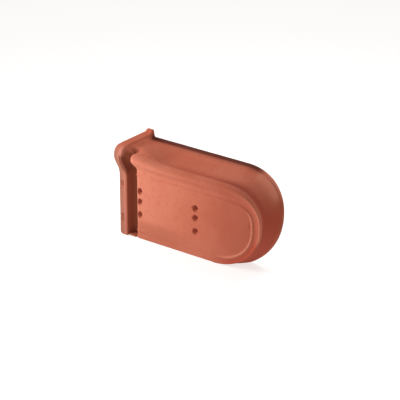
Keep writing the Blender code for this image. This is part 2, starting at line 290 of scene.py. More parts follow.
@dataclass(frozen=True)
class Roll:
    """Roll along the top edge, which shrinks to a bead round the tail."""

    width_head: float = 46 * MM
    width: float = 36 * MM
    reach_head: float = 19 * MM
    reach: float = 13 * MM
    bead_width_tail: float = 20 * MM
    bead_reach_tail: float = 6 * MM
    bead_width_bottom: float = 12 * MM
    bead_reach_bottom: float = 2 * MM
    bead_slimming: float = 6.5 * MM
    nose_share: float = 0.3
    bead_nose_share: float = 0.1
    head_rise: float = 10 * MM
    head_rise_length: float = 90 * MM
    crest_setback: float = 1 * MM
    # Strength of the painted highlight on the bead at the tip, and share of the upper arc from which the
    # ridge's crown takes a painted highlight
    bead_highlight: float = 0.6
    ridge_highlight_start: float = 0.5


@dataclass(frozen=True)
class Flange:
    """Top flange and the tail wall, with the lip round their back edge."""

    depth: float = 98 * MM
    tip_depth: float = 82 * MM
    lower_depth: float = 50 * MM
    thickness: float = 12 * MM
    rim_rise: float = 18 * MM
    tip_flare: float = 4.5 * MM
    lower_flare: float = 17 * MM
    flare_power: float = 1.45
    # Share of the lower arc over which the wall grows from the plate's back, and how slowly it starts
    wall_growth: float = 0.3
    wall_growth_power: float = 2.5
    lip_height: float = 4 * MM
    lip_width: float = 9 * MM
    lip_wear: float = 0.25
    # In lip widths from the rim's back: where the lip's top starts and stops, its foot, and the wall's top
    lip_places: tuple[float, ...] = (0.2, 0.85, 1.1, 1.7)
    rim_round: float = 1.5 * MM
    trough_head: float = 7 * MM
    trough: float = -3 * MM
    trough_arc: float = -6 * MM
    trough_tip: float = -8 * MM
    trough_setback: float = 11 * MM
    trough_setback_tip: float = 15 * MM
    # Where the trough starts behind the crest, as shares of its depth and of its setback
    trough_start: Pair = (0.3, 0.45)
    # Darkening of the wall's top under a dark lip, and of the lip's foot where the lip is plain
    lip_darkening: Pair = (0.35, 0.15)
    # Shares of the upper arc between which the lip's dark band fades out
    lip_dark_arc: Pair = (0.1, 0.3)
    # Share of the upper arc where painted shade starts to darken the rim, and how far up the wall the cove's
    # painted shade reaches along the straight run and at the tip
    rim_shade_start: float = 0.6
    shade_reach: Pair = (0.3, 0.85)
    # Shares of the upper arc where the painted highlight high on the wall starts, is full, ends and is gone
    rim_highlight_arc: tuple[float, ...] = (0.1, 0.25, 0.6, 0.8)
    rim_highlight: float = 0.9
    # Deeper painted shade in the cove along the upper arc, the share of the straight run from which it grows,
    # and the shares of the arc between which it fades out
    cove_deep_shade: float = 0.34
    cove_deep_shade_start: float = 0.85
    cove_deep_shade_arc: Pair = (0.5, 0.9)
    # How it is spread over the points from just under the crest to the foot of the wall
    cove_deep_shade_spread: tuple[float, ...] = (0.3, 0.8, 1.0, 1.0, 0.6)
    # Share of the cove's painted shade that reaches the crest, without the deeper painted shade and with all
    # of it
    crest_shade: Pair = (0.3, 0.7)
    # Shares of the wall's height between which its painted highlight on the upper part starts
    rim_highlight_rise: Pair = (0.6, 0.9)
    # Shares of the lower arc between which the bead's painted highlight gives way to painted shade, where it
    # turns down
    bead_shade_arc: Pair = (0.86, 0.68)


@dataclass(frozen=True)
class Hollow:
    """Inner side: the flange's draft, the corner at the plate's back and the hollow in the roll."""

    draft: float = 2.4 * MM
    # Room behind the plate that the full corner takes, where the wall ends in it, and its rounded point
    full_room: float = 30 * MM
    wall_foot: float = 10 * MM
    corner: Pair = (2 * MM, 3.5 * MM)
    # The hollow starts this far inside the flange. It is as deep as a share of the roll's reach, less a wall
    start: float = 5 * MM
    least_width: float = 3 * MM
    margin: float = 2 * MM
    reach_share: float = 0.8
    wall: float = 4 * MM
    places: tuple[float, ...] = (0.0, 0.15, 0.4, 0.65, 0.85, 1.0)


@dataclass(frozen=True)
class Head:
    """Collar at the head, and the channel between it and the body."""

    collar_width: float = 24 * MM
    collar_step: float = 13 * MM
    collar_front: float = 0.0
    collar_roll_drop: float = 14 * MM
    collar_trough: float = 1 * MM
    back_rise: float = 3 * MM
    corner: float = 8 * MM
    channel_width: float = 23 * MM
    channel_depth: float = 15 * MM
    # How far (inwards, backwards) the channel sinks the roll's crest and its nose
    crest_sink: Pair = (5 * MM, 6 * MM)
    cove_sink: float = 0.25
    nose_sink: Pair = (8.4 * MM, 19.8 * MM)
    channel_slope: float = 1.5 * MM
    channel_fillet: float = 3 * MM
    # How far the inner side is shifted at the channel's walls, and the share of it that is gone where the
    # body's rounded end stops
    channel_wall: float = 8 * MM
    shift_fade: float = 0.5
    # Places of the rows down a wall of the channel and across its floor
    wall_places: tuple[float, ...] = (0.25, 0.5, 0.7, 0.85, 0.94, 1.0)
    floor_places: tuple[float, ...] = (0.25, 0.5, 0.75)
    wall_spread: float = 11 * MM
    wall_spread_z: Pair = (176 * MM, 206 * MM)
    wall_spread_y: Pair = (85 * MM, 60 * MM)
    # Heights between which the painted shade in the channel fades out
    shade_z: Pair = (207 * MM, 199 * MM)
    # Share of the way down a wall over which the painted shade comes on
    shade_wall: float = 0.25
    # Where the painted shade starts on the collar's flank, at four heights, and how fast it grows
    shade_heights: tuple[float, ...] = (152 * MM, 165 * MM, 180 * MM, 200 * MM)
    shade_starts: tuple[float, ...] = (18 * MM, 10 * MM, 11.5 * MM, 13.5 * MM)
    shade_edge: float = 1.5 * MM
    # Deeper painted shade on the collar's front under its roll, where the channel's painted shade lies, and
    # the heights between which it grows
    collar_shade: float = 0.55
    collar_shade_z: Pair = (148 * MM, 158 * MM)
    web_height: float = 7 * MM
    lug_height: float = 8 * MM
    lug_flank: float = 6.5 * MM
    arris: float = 3 * MM
    end_arris: float = 1.2 * MM
    body_end: float = 8 * MM
    # How far the roll's end sinks, as a share of the channel's own sink, and stands out over the channel
    roll_end_sink: float = 0.15
    roll_overhang: float = 5 * MM
    # Share of the roll's reach over which its end comes to lean out fully
    roll_lean: float = 0.5

    @property
    def body_start(self) -> float:
        """X of the body's left end."""
        return self.collar_width + self.channel_width


@dataclass(frozen=True)
class NailHoles:
    """Two columns of three nail holes, punched through the plate while the clay was soft."""

    height: float = 16.5 * MM
    columns: tuple = (
        (9.8 * MM, 13 * MM, (141.5 * MM, 109.5 * MM, 83.6 * MM)),
        (172.7 * MM, 16 * MM, (140.1 * MM, 108 * MM, 84.7 * MM)),
    )
    neck: float = 6.5 * MM
    neck_rise: float = 2.5 * MM
    taper: float = 10 * MM
    slump: float = 0.5 * MM
    slump_depth: float = 1.2 * MM
    # Slump in front of the plate, and from its front on, as shares of the slump's depth and its width
    mouth_slump: float = 3.0
    slump_profile: tuple = ((0.0, 1.0), (0.3, 0.4), (1.0, 0.0))
    clearance: float = 5 * MM
    sides: int = 40

    def pins(self, front: float, through: float, left: float, top: float) -> Object:
        """Makes the tapered pins that cut the holes, wider at the plate's front where the clay slumped.

        Args:
            front: depth of the plate's front.
            through: how far behind it the pins reach.
            left: x of the body's left end.
            top: height that the drops are measured from.

        Returns:
            One object with all the pins.
        """
        profile = [(-self.clearance, self.mouth_slump * self.slump)]
        profile += [(depth * self.slump_depth, width * self.slump) for depth, width in self.slump_profile]
        profile += [(self.taper, 0.0), (through + self.clearance, 0.0)]
        angles = [2 * math.pi * i / self.sides for i in range(self.sides)]
        shape = bmesh.new()
        for offset, width, drops in self.columns:
            for drop in drops:
                x, z = left + offset, top - drop
                rings = []
                for depth, extra in profile:
                    rest = max(1 - depth / self.taper, 0.0)
                    wide, tall = [mix(self.neck, size, rest) / 2 + extra for size in (width, self.height)]
                    middle = z + self.neck_rise * min(depth / self.taper, 1.0)
                    rings.append([shape.verts.new((
                        x + wide * math.cos(a), front + depth, middle + tall * math.sin(a))) for a in angles])
                for first, second in zip(rings, rings[1:]):
                    for i in range(self.sides):
                        shape.faces.new((first[i - 1], first[i], second[i], second[i - 1]))
                shape.faces.new(rings[0])
                shape.faces.new(rings[-1])
        bmesh.ops.recalc_face_normals(shape, faces=shape.faces)
        data = bpy.data.meshes.new("pins")
        shape.to_mesh(data)
        shape.free()
        return placed("pins", data)


@dataclass(frozen=True)
class Section:
    """One section of the tile, by its place on the edge of the face and its sizes there."""

    x: float
    z: float
    normal: Pair
    depth: float
    width: float
    reach: float
    front: float
    ridge: float
    nose: float = Roll.nose_share
    setback: float = Flange.trough_setback
    lift: float = 0.0
    trough: float = 0.0
    lip: float = 0.0
    lug: float = 0.0
    web: float = 0.0
    trim: float = 0.0
    face_trim: float = 0.0
    shift: float = 0.0
    sink: float = 0.0
    roll_sink: float = 0.0
    overhang: float = 0.0
    in_channel: float = 0.0
    # Tones: the lip's dark band, painted shade on the rim, in the cove and on the bead, and painted
    # highlights on the bead, ridge and rim
    lip_dark: float = 0.0
    rim_shade: float = 0.0
    cove_shade: float = 0.0
    shade_reach: float = 1.0
    bead_shade: float = 0.0
    bead_highlight: float = 0.0
    ridge_highlight: float = 0.0
    rim_highlight: float = 0.0
    cove_deep_shade: float = 0.0


@dataclass
class PressedTile:
    """The whole tile as one pressed piece of clay, at the fineness of the real surface."""

    outline: Outline = Outline()
    plate: Plate = Plate()
    roll: Roll = Roll()
    flange: Flange = Flange()
    hollow: Hollow = Hollow()
    head: Head = Head()
    holes: NailHoles = NailHoles()
    roll_steps: int = 9
    wall_steps: int = 7
    run_steps: int = 46
    tail_steps: int = 44
    collar_steps: int = 10
    round_steps: int = 6
    panel_steps: int = 44
    # Share of the way to the next point at which a row's corner is cut
    corner_cut: float = 0.25
    merge_distance: float = 0.01 * MM

    def inward(self, points: Points) -> Points:
        """Directions into the clay along an open section that is drawn from the back to the front.

        Args:
            points: the section's points (w, y).

        Returns:
            One unit vector for each point.
        """
        vectors = []
        for i in range(len(points)):
            before = points[max(i - 1, 0)]
            after = points[min(i + 1, len(points) - 1)]
            dw, dy = after[0] - before[0], after[1] - before[1]
            size = math.hypot(dw, dy)
            vectors.append((dy / size, -dw / size))
        return vectors

    def outer(self, s: Section) -> Points:
        """Outer side of a section, from the rim's back edge over the flange and the roll to the panel.

        Args:
            s: the section.

        Returns:
            Its points (w, y).
        """
        flange, roll, plate = self.flange, self.roll, self.plate
        crest_y = s.front + roll.crest_setback
        squeeze = (s.depth - crest_y) / (flange.depth - crest_y)
        lip_back, lip_front, lip_foot, wall_top = [
            s.depth - place * flange.lip_width * squeeze for place in flange.lip_places]
        lip_top, trough_y = s.lift + s.lug, crest_y + s.setback * squeeze
        points = [
            (lip_top - flange.lip_wear * s.lip, s.depth), (lip_top, lip_back), (lip_top, lip_front),
            (s.lift - s.lip, lip_foot),
        ]
        for share in shares(self.wall_steps)[::-1]:
            w = mix(s.trough, s.lift - s.lip, share ** flange.flare_power)
            points.append((w, mix(trough_y, wall_top, share)))
        start_w, start_y = flange.trough_start
        points.append((start_w * s.trough, mix(crest_y, trough_y, start_y)))

        roll_start = len(points)
        nose_w, nose_y = -s.nose * s.width, s.front - s.reach
        for share in shares(self.roll_steps):
            angle = math.radians(90) * share
            points.append((nose_w * (1 - math.cos(angle)), mix(crest_y, nose_y, math.sin(angle))))
        for share in shares(self.roll_steps)[1:]:
            fall = (1 - math.cos(math.pi * share)) / 2
            points.append((mix(nose_w, -s.width, share), mix(nose_y, s.front, fall)))
        ridge_w = s.width + plate.ridge_gap
        points.append((-ridge_w, s.front))
        points += [(-ridge_w - share * plate.ridge_width, s.front - s.ridge) for share in plate.ridge_crown]
        points.append((-ridge_w - plate.ridge_width, s.front))
        points.append((-ridge_w - plate.ridge_width - plate.panel_margin, s.front))
        if s.roll_sink:
            points = self.sunk(points, roll_start, s)
            nose_y = points[roll_start + self.roll_steps][1]
        if s.web:
            depth = self.head.channel_depth
            webbed = [(w, y - depth if w > -s.web else y) for w, y in points[roll_start:]]
            points = points[:roll_start] + webbed
        shaved = []
        for i, ((w, y), (iw, iy)) in enumerate(zip(points, self.inward(points))):
            on_face = i >= roll_start - 1
            trim = s.trim + (s.face_trim if on_face else 0.0)
            # A corner that is tighter than the trim would fold over, so it stops at the trimmed sides
            if trim > 0:
                w, y = w + iw * trim, max(y + iy * trim, nose_y + trim)
                w = min(w, -trim) if on_face else w
                y = min(y, shaved[-1][1]) if shaved and i <= roll_start + self.roll_steps else y
            shaved.append((w, y))
        return shaved

    def sunk(self, points: Points, roll_start: int, s: Section) -> Points:
        """Sinks a section's roll and face into the channel, which fades out behind the roll's crest.

        Args:
            points: the section's outer side.
            roll_start: number of the crest's point.
            s: the section.

        Returns:
            The points, sunk.
        """
        head, steps = self.head, self.roll_steps
        crest, nose = [
            tuple(s.roll_sink * sink for sink in sinks) for sinks in (head.crest_sink, head.nose_sink)]
        face = (0.0, s.sink * head.channel_depth)
        lowered = []
        for i, (w, y) in enumerate(points):
            past = i - roll_start
            if past < 0:
                inward, back = [head.cove_sink * sink if past == -1 else 0.0 for sink in crest]
            elif past <= steps:
                inward, back = [mix(a, b, past / steps) for a, b in zip(crest, nose)]
            else:
                share = smooth((past - steps) / steps)
                inward, back = [mix(a, b, share) for a, b in zip(nose, face)]
            lowered.append((w - inward, y + back))
        return lowered

    def inner(self, s: Section) -> Points:
        """Inner side of a section, from the rim under the flange to the plate's back.

        Args:
            s: the section.

        Returns:
            Its points (w, y).
        """
        flange, plate, hollow = self.flange, self.plate, self.hollow
        back = s.front + s.sink * self.head.channel_depth + plate.thickness
        room = s.depth - back
        corner = min(1.0, room / hollow.full_room)
        points = []
        for share in shares(self.wall_steps)[::-1]:
            w = mix(s.trough, s.lift, share ** flange.flare_power) - flange.thickness
            w -= hollow.draft * (1 - share)
            points.append((w, back + mix(hollow.wall_foot * corner, room, share)))
        inner_w = points[-1][0]
        corner_w, corner_y = hollow.corner
        points.append((inner_w - corner_w, back + corner_y * corner))
        ridge_w = -s.width - plate.ridge_gap
        start_w = inner_w - hollow.start
        end_w = min(ridge_w - plate.ridge_width / 2, start_w - hollow.least_width)
        depth = max(hollow.reach_share * s.reach - hollow.wall, 0.0)
        for share in hollow.places:
            points.append((mix(start_w, end_w, share), back - depth * math.sin(math.pi * share)))
        panel_w = ridge_w - plate.ridge_width - plate.panel_margin
        points.append((min(panel_w, end_w - hollow.margin), back))
        return points

    def row(self, s: Section) -> np.ndarray:
        """Control points of a section, from the panel's front edge round the rim to the plate's back.

        Args:
            s: the section.

        Returns:
            One line for each point: x, y and z in the drawing frame, then its tones.
        """
        flange, head = self.flange, self.head
        outer, inner = self.outer(s)[::-1], self.inner(s)
        rim = [(outer[-1][0] - flange.rim_round, s.depth), (inner[0][0] + flange.rim_round, s.depth)]
        flat = np.array(outer + rim + inner)
        numbers = np.arange(len(flat))
        x = np.full(len(flat), s.x)
        x[len(outer) + 1:] += s.shift
        if s.overhang:
            lean_reach = head.roll_lean * s.reach
            x[:len(outer)] -= [s.overhang * smooth((s.front - y) / lean_reach) for _, y in outer]
        z = s.z + s.normal[1] * flat[:, 0]

        # Numbers of the lip's foot, the wall's foot, the roll's crest and its nose. The trough's start lies
        # between the wall's foot and the crest
        lip = len(outer) - LIP_POINTS
        foot = lip - self.wall_steps - 1
        crest = foot - 2
        nose = crest - self.roll_steps
        tone = {name: np.zeros(len(flat)) for name in TONES}
        # Painted shade in the channel, fading out high up
        shade_by_height = rise(z, *head.shade_z) * (numbers < len(outer))
        tone["channel"] = shade_by_height * s.in_channel
        # The lip's dark band, and the wall's top under it
        if s.lip > 0:
            under, clean = flange.lip_darkening
            tone["groove"][lip:len(outer)] = (mix(clean, 1.0, s.lip_dark), s.lip_dark, s.lip_dark, s.lip_dark)
            tone["groove"][lip - 1] = under * max(2 * s.lip_dark - 1, 0.0)
        # On the collar the painted shade starts on its flank, deeper under its roll
        if s.x <= head.collar_width:
            start = np.interp(z, head.shade_heights, head.shade_starts)
            tone["channel"] = shade_by_height * rise(s.x, start, start + head.shade_edge)
            tone["groove"] += head.collar_shade * tone["channel"] * rise(z, *head.collar_shade_z)
        # Deeper painted shade in the cove behind the crest
        spread = np.array(flange.cove_deep_shade_spread)
        tone["groove"][crest - 1:crest - 1 + len(spread)] += s.cove_deep_shade * spread
        tone["face"] = rise(numbers, crest, nose)
        # Painted shade up the wall from the cove, on the crest, and on the bead where it turns down
        up = np.linspace(0.0, 1.0, self.wall_steps + 1)
        tone["wall"][foot:lip] = mix(s.cove_shade, s.rim_shade, np.minimum(up / s.shade_reach, 1.0))
        crest_share = mix(*flange.crest_shade, s.cove_deep_shade / flange.cove_deep_shade)
        tone["wall"][crest:foot] = (crest_share * s.cove_shade, s.cove_shade)
        tone["wall"][nose - self.roll_steps:crest + 1] += s.bead_shade
        tone["wall"] = np.minimum(tone["wall"], 1.0)
        # Painted highlights on the ridge's crown
        tone["painted_highlight"][PANEL_POINTS:PANEL_POINTS + len(self.plate.ridge_crown)] = s.ridge_highlight
        # The bead's painted highlight runs from two points below its nose up to its crest
        tone["painted_highlight"][nose - 2:crest] = s.bead_highlight
        # Painted highlight high on the rim
        tone["painted_highlight"][foot:lip] = s.rim_highlight * rise(up, *flange.rim_highlight_rise)
        tone["painted_highlight"][lip:len(outer)] = s.rim_highlight
        return np.column_stack([x + s.normal[0] * flat[:, 0], flat[:, 1], z, *tone.values()])

    def collar(self, x: float, edge: Edge) -> Section:
        """Section of the collar.

        Args:
            x: its place along the tile.
            edge: which straight edge it stands on.

        Returns:
            The section.
        """
        head, roll, plate, flange = self.head, self.roll, self.plate, self.flange
        lug = head.lug_height * smooth((x - head.end_arris) / head.lug_flank)
        corner = head.corner * quarter_round(x / head.corner)
        if edge is Edge.BOTTOM:
            return Section(
                x=x, z=corner, normal=(0.0, -1.0), depth=head.collar_front + plate.thickness,
                width=roll.bead_width_bottom, reach=0.0, front=head.collar_front, ridge=0.0,
            )
        return Section(
            x=x, z=self.outline.top + roll.head_rise + head.collar_step, normal=(0.0, 1.0),
            depth=flange.depth, width=head.collar_step + roll.width_head + head.collar_roll_drop,
            reach=roll.reach_head, front=head.collar_front, ridge=0.0,
            lift=head.back_rise, trough=head.collar_trough, lug=lug,
        )

    def body(self, x: float, edge: Edge) -> Section:
        """Section of the body along its straight top or bottom edge.

        Args:
            x: its place along the tile.
            edge: which straight edge it stands on.

        Returns:
            The section.
        """
        roll, plate, flange = self.roll, self.plate, self.flange
        if edge is Edge.BOTTOM:
            return Section(
                x=x, z=0.0, normal=(0.0, -1.0), depth=plate.front + plate.thickness,
                width=roll.bead_width_bottom, reach=roll.bead_reach_bottom, front=plate.front,
                ridge=plate.ridge_height,
            )
        start = self.head.body_start
        fade = smooth((x - start) / roll.head_rise_length)
        top = mix(self.outline.top + roll.head_rise, self.outline.top, fade)
        arc_start = self.outline.length - self.outline.upper_arc
        along = max((x - start) / (arc_start - start), 0.0)
        # Its lip carries the dark band, and the cove's painted shade grows towards the tail
        return Section(
            x=x, z=top, normal=(0.0, 1.0), depth=flange.depth,
            width=mix(roll.width_head, roll.width, fade), reach=mix(roll.reach_head, roll.reach, along),
            front=plate.front, ridge=plate.ridge_height, lift=self.outline.top + flange.rim_rise - top,
            trough=mix(flange.trough_head, mix(flange.trough, flange.trough_arc, along), fade),
            lip=flange.lip_height, nose=roll.nose_share, setback=flange.trough_setback, lip_dark=1.0,
            cove_shade=smooth(along), shade_reach=flange.shade_reach[0],
            cove_deep_shade=flange.cove_deep_shade * ramp(along, flange.cove_deep_shade_start, 1.0),
        )

    def channel(self, x: float, edge: Edge) -> Section:
        """Section of the channel, which is the body's section set back.

        Args:
            x: its place along the tile.
            edge: which straight edge it stands on.

        Returns:
            The section.
        """
        head = self.head
        s = self.body(x, edge)
        front = self.plate.front + head.channel_depth
        if edge is Edge.BOTTOM:
            depth = front + self.plate.thickness
            return replace(s, front=front, depth=depth, web=head.web_height, ridge=0.0, in_channel=1.0)
        return replace(s, sink=1.0, roll_sink=1.0, ridge=0.0, in_channel=1.0)

    def head_rows(self, edge: Edge) -> list[np.ndarray]:
        """Rows of the collar, the channel and the rounded start of the body.

        Args:
            edge: which straight edge they stand on.

        Returns:
            The rows of control points, from the head end onwards.
        """
        head = self.head
        rows = []
        for share in shares(self.round_steps)[:-1]:
            s = self.collar(head.end_arris * share, edge)
            rows.append(self.row(replace(s, trim=head.end_arris * quarter_round(share))))
        last = head.collar_width - head.arris
        for share in shares(self.collar_steps):
            s = self.collar(mix(head.end_arris, last, share), edge)
            rows.append(self.row(replace(s, shift=-head.channel_wall * smooth(share))))
        for share in shares(self.round_steps)[1:]:
            angle = math.radians(90) * share
            s = self.collar(last + head.arris * math.sin(angle), edge)
            trim = head.arris * (1 - math.cos(angle))
            rows.append(self.row(replace(s, trim=trim, shift=-head.channel_wall)))
        wall = head.channel_slope + head.channel_fillet
        floor_start = self.channel(head.collar_width + wall, edge)
        first = self.row(replace(floor_start, shift=-head.channel_wall))
        final = self.row(replace(self.channel(head.body_start - wall, edge), shift=head.channel_wall))
        gentle = (np.arange(len(first)) < len(self.outer(floor_start))).astype(float)
        for axis, places in ((2, head.wall_spread_z), (1, head.wall_spread_y)):
            up = rise(first[:, axis], *places)
            gentle *= up * up * (3 - 2 * up)
        first[:, 0] += head.wall_spread * gentle
        rows += self.wall_rows(rows[-1], first, gentle)
        rows += [mix(first, final, share) for share in head.floor_places]
        starts = []
        roll_sink, overhang = (head.roll_end_sink, head.roll_overhang) if edge is Edge.TOP else (0.0, 0.0)
        for turn in shares(2 * self.round_steps):
            share = 1 - math.cos(math.radians(90) * turn)
            rounding = quarter_round(share)
            starts.append(self.row(replace(
                self.body(head.body_start + share * head.body_end, edge),
                face_trim=head.arris * rounding, roll_sink=roll_sink * rounding,
                overhang=overhang * (1 - share), shift=head.channel_wall * (1 - head.shift_fade * share),
            )))
        rows += self.wall_rows(starts[0], final, np.zeros_like(gentle))[::-1]
        return rows + starts

    def wall_rows(self, side: np.ndarray, floor: np.ndarray, gentle: np.ndarray) -> list[np.ndarray]:
        """Rows down a wall of the channel, with a fillet where it meets the floor.

        Args:
            side: the row at the wall's top.
            floor: the row at the floor's edge.
            gentle: for each point, how far the wall is an even slope there, from 0 to 1.

        Returns:
            The rows after the top one, down to the floor.
        """
        head = self.head
        # A row's columns are x, y and z, and then its tones
        channel_shade = 3 + TONES.index("channel")
        slope = head.channel_slope / (head.channel_slope + head.channel_fillet)
        rows = []
        for share in head.wall_places:
            row = mix(side, floor, share)
            steep = mix(quarter_round(1 - share), share, slope)
            row[:, 0] = mix(side[:, 0], floor[:, 0], mix(steep, share, gentle))
            # The channel's painted shade comes on down the wall
            row[:, channel_shade] = np.maximum(row[:, channel_shade], floor[:, channel_shade] * min(1.0, share / head.shade_wall))
            rows.append(row)
        return rows

    def tail_rows(self) -> list[np.ndarray]:
        """Rows round the tail, from the end of the top edge to the start of the bottom edge."""
        roll, flange, plate = self.roll, self.flange, self.plate
        lit_start, lit_full, lit_end, lit_gone = flange.rim_highlight_arc
        rows = []
        # Upper arc: the lip's dark band fades, painted shade grows on the rim, and painted highlights come on
        # the bead, ridge and rim
        for share in shares(self.tail_steps):
            x, z, normal = self.outline.arc(share, Edge.TOP)
            turn = smooth(share)
            rows.append(self.row(Section(
                x=x, z=z, normal=normal, depth=mix(flange.depth, flange.tip_depth, turn),
                width=mix(roll.width, roll.bead_width_tail, turn),
                reach=mix(roll.reach, roll.bead_reach_tail, turn), front=plate.front,
                ridge=plate.ridge_height, lift=mix(flange.rim_rise, flange.tip_flare, share),
                trough=mix(flange.trough_arc, flange.trough_tip, turn), lip=flange.lip_height,
                nose=mix(roll.nose_share, roll.bead_nose_share, turn),
                setback=mix(flange.trough_setback, flange.trough_setback_tip, turn),
                lip_dark=1 - ramp(share, *flange.lip_dark_arc), rim_shade=ramp(share, flange.rim_shade_start, 1.0),
                cove_shade=1.0, shade_reach=mix(*flange.shade_reach, share), bead_highlight=roll.bead_highlight * turn,
                ridge_highlight=ramp(share, roll.ridge_highlight_start, 1.0),
                rim_highlight=flange.rim_highlight * ramp(share, lit_start, lit_full) * ramp(share, lit_gone, lit_end),
                cove_deep_shade=flange.cove_deep_shade * (1 - ramp(share, *flange.cove_deep_shade_arc)),
            )))
        # Lower arc: painted shade on the wall, and on the bead where it turns down, where its painted
        # highlight fades
        for share in shares(self.tail_steps)[-2:0:-1]:
            x, z, normal = self.outline.arc(share, Edge.BOTTOM)
            turn, bead_shaded = smooth(share), ramp(share, *flange.bead_shade_arc)
            wall = min(share / flange.wall_growth, 1.0) ** flange.wall_growth_power
            grown = smooth(share / flange.wall_growth)
            full_depth = mix(flange.lower_depth, flange.tip_depth, share)
            slimming = roll.bead_slimming * math.sin(math.pi * share)
            rows.append(self.row(Section(
                x=x, z=z, normal=normal, depth=mix(plate.front + plate.thickness, full_depth, wall),
                width=mix(roll.bead_width_bottom, roll.bead_width_tail, turn) - slimming,
                reach=mix(roll.bead_reach_bottom, roll.bead_reach_tail, turn), front=plate.front,
                ridge=plate.ridge_height,
                lift=min(mix(flange.lower_flare, flange.tip_flare, turn), -z / normal[1]),
                trough=flange.trough_tip * turn, lip=flange.lip_height * turn * wall,
                nose=roll.bead_nose_share,
                setback=mix(flange.trough_setback, flange.trough_setback_tip, turn), rim_shade=1.0,
                cove_shade=1.0, bead_shade=bead_shaded * grown, bead_highlight=roll.bead_highlight * (1 - bead_shaded),
                ridge_highlight=grown,
            )))
        return rows

    def rows(self) -> list[np.ndarray]:
        """All rows of the tile, in order, with their corners softened."""
        start = self.head.body_start + self.head.body_end
        ends = {
            Edge.TOP: self.outline.length - self.outline.upper_arc,
            Edge.BOTTOM: self.outline.length - self.outline.lower_arc,
        }
        run = {
            edge: [self.row(self.body(mix(start, end, i / self.run_steps), edge))
                   for i in range(1, self.run_steps + (edge is Edge.BOTTOM))]
            for edge, end in ends.items()
        }
        rows = self.head_rows(Edge.TOP) + run[Edge.TOP] + self.tail_rows()
        rows += run[Edge.BOTTOM][::-1] + self.head_rows(Edge.BOTTOM)[::-1]
        return [self.soften(row) for row in rows]

    def soften(self, row: np.ndarray) -> np.ndarray:
        """Cuts each corner of a row, as pressed clay has no sharp one.

        Args:
            row: control points.

        Returns:
            About twice as many points, with the two ends where they were.
        """
        before, after = row[:-1], row[1:]
        cut = np.empty((2 * len(before), row.shape[1]))
        cut[0::2] = mix(before, after, self.corner_cut)
        cut[1::2] = mix(before, after, 1 - self.corner_cut)
        return np.vstack([row[:1], cut[1:-1], row[-1:]])

    def build(self) -> Object:
        """Makes the closed body of the tile, without holes or marks."""
        rows = self.rows()
        count, size = len(rows), len(rows[0])
        points = [np.vstack(rows)]
        total = count * size
        faces = []
        for i in range(count - 1):
            for a in range(i * size, i * size + size - 1):
                faces.append((a, a + 1, a + size + 1, a + size))
        between = np.arange(1, self.panel_steps)[:, None] / self.panel_steps
        edges = []
        for column in (0, size - 1):
            ladder = []
            for i in range(count // 2 + 1):
                top, bottom = i * size + column, (count - 1 - i) * size + column
                if top == bottom:
                    ladder.append([top] * (self.panel_steps + 1))
                    continue
                points.append(mix(points[0][top], points[0][bottom], between))
                ladder.append([top, *range(total, total + len(between)), bottom])
                total += len(between)
            edges.append(ladder[0][1:-1])
            for first, second in zip(ladder, ladder[1:]):
                for a, b, c, d in zip(first, first[1:], second[1:], second):
                    faces.append((a, b, c) if c == d else (a, b, c, d))
        bottom_row = range((count - 1) * size, count * size)
        faces.append([*range(size), *edges[1], *bottom_row[::-1], *edges[0][::-1]])
        table = np.vstack(points)

        data = bpy.data.meshes.new("pressed_tile")
        data.from_pydata(table[:, :3].tolist(), [], faces)
        for name, values in zip(TONES, table[:, 3:].T.astype(np.float32)):
            data.attributes.new(name, "FLOAT", "POINT").data.foreach_set("value", values)
        shape = bmesh.new()
        shape.from_mesh(data)
        bmesh.ops.remove_doubles(shape, verts=shape.verts, dist=self.merge_distance)
        bmesh.ops.triangulate(shape, faces=[f for f in shape.faces if len(f.verts) > 4])
        bmesh.ops.recalc_face_normals(shape, faces=shape.faces)
        shape.to_mesh(data)
        shape.free()
        log.info("pressed tile: %d rows of %d points, %d faces", count, size, len(data.polygons))
        return placed("pressed_tile", data)

    def pins(self) -> Object:
        """Makes the cutter for the nail holes, long enough for the channel's floor too."""
        through = self.head.channel_depth + self.plate.thickness
        return self.holes.pins(self.plate.front, through, self.head.body_start, self.outline.top)


